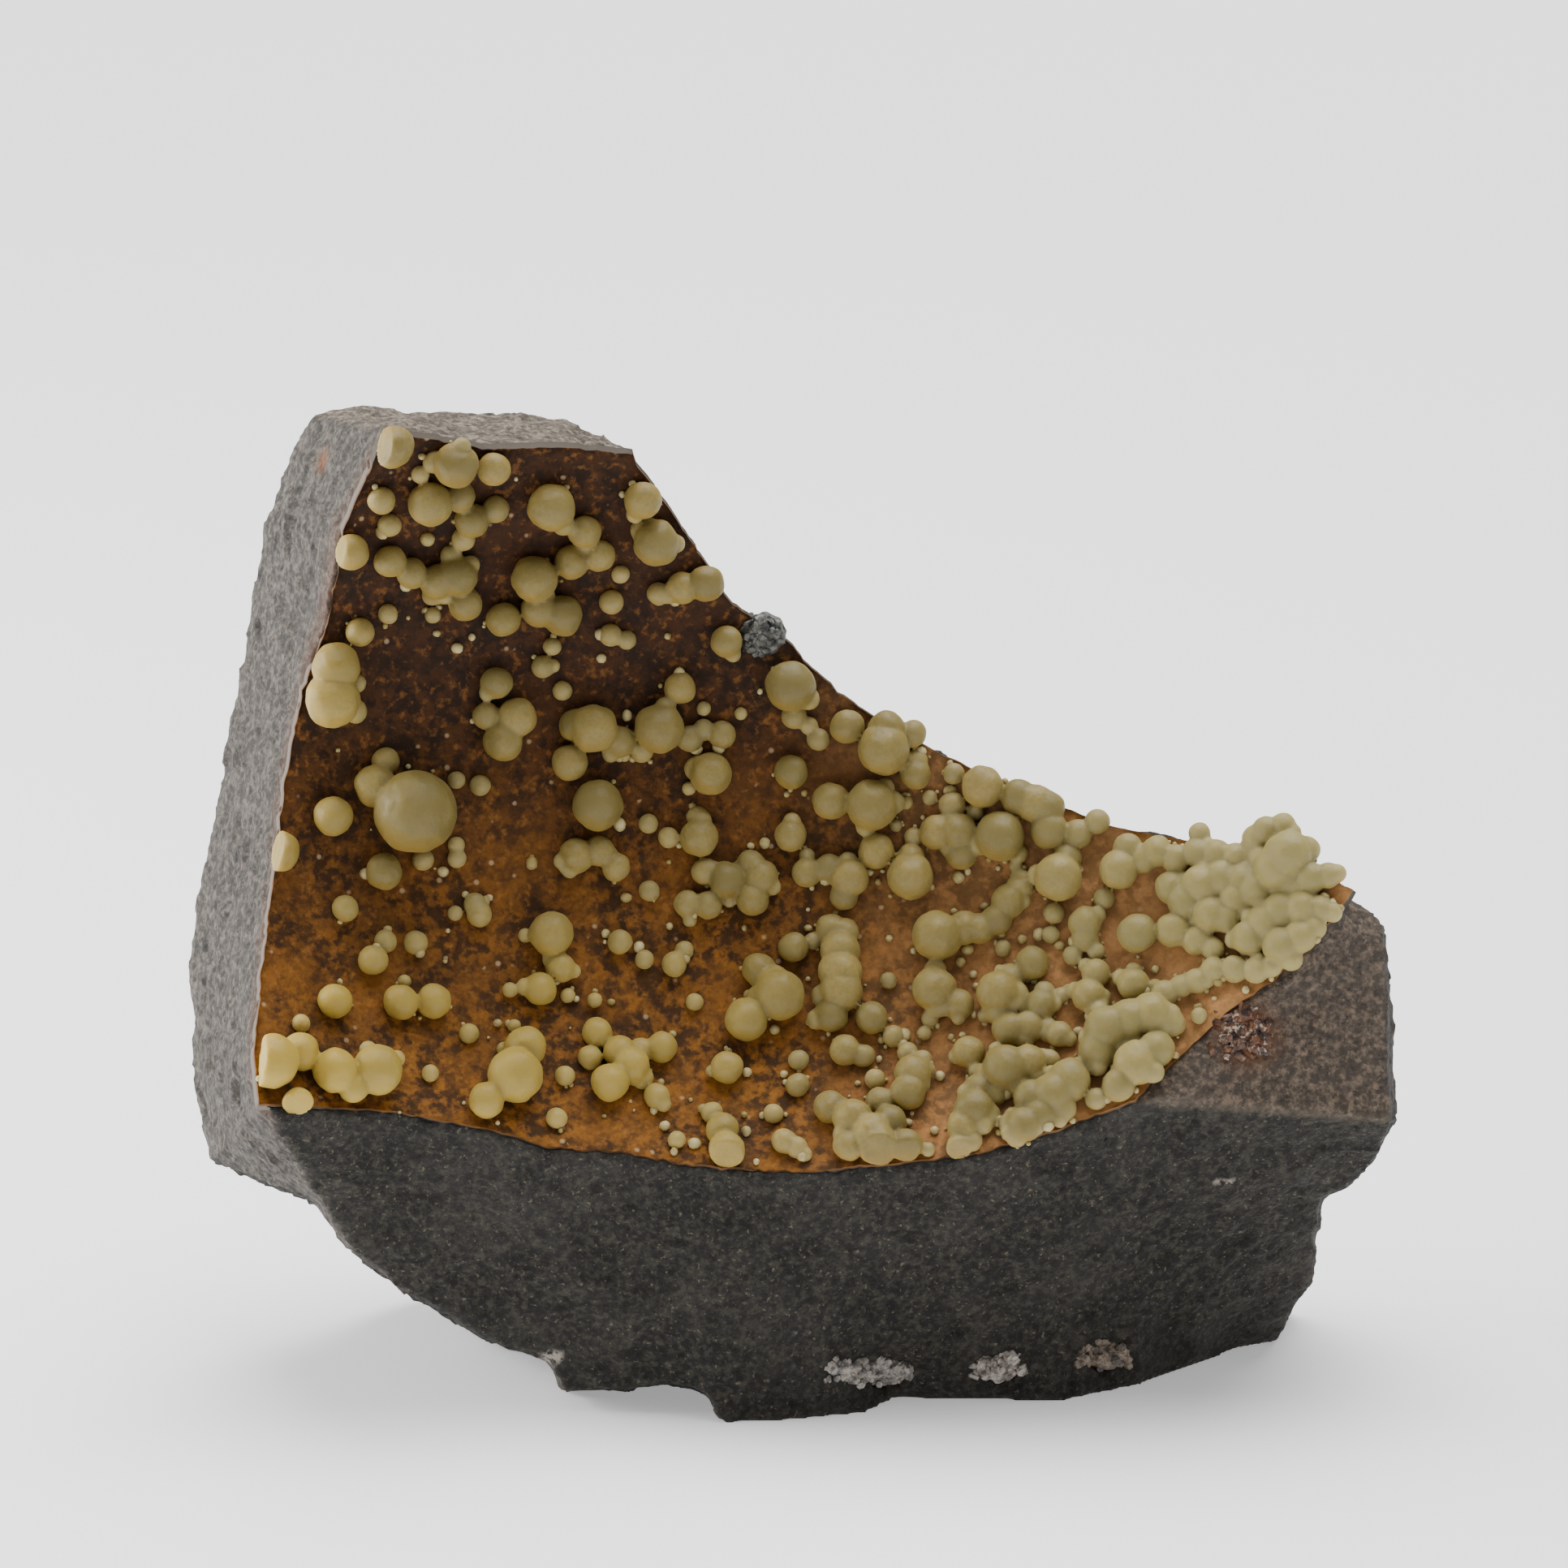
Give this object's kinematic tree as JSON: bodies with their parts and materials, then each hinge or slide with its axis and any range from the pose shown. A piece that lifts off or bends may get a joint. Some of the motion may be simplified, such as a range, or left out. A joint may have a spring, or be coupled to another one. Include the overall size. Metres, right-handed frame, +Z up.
{
  "type": "calcite specimen on basalt",
  "caption": "Broken lump of dark basalt with a smooth, iron-stained hollow in its front, lined with a crust of rounded yellow-green calcite balls. It stands on a flat broken base.",
  "frame": {"origin": "centre of the footprint, on the level ground that the flat base rests on", "axes": "+Z up, the hollow faces -Y, +X to the right as one looks into the hollow"},
  "size_m": [0.1338, 0.0646, 0.1082],
  "materials": {
    "basalt": "matt, broken",
    "calcite": "waxy, satin",
    "zeolite": "dull, sugary",
    "rusty_crystal": "dull, sparkling in places"
  },
  "bodies": {
    "root": {"basalt_matrix": "basalt", "calcite_crust": "calcite", "zeolite_patch_left": "zeolite", "zeolite_patch_middle": "zeolite", "zeolite_patch_right": "zeolite", "rusty_crystal_patch": "rusty_crystal"}
  },
  "joints": []
}
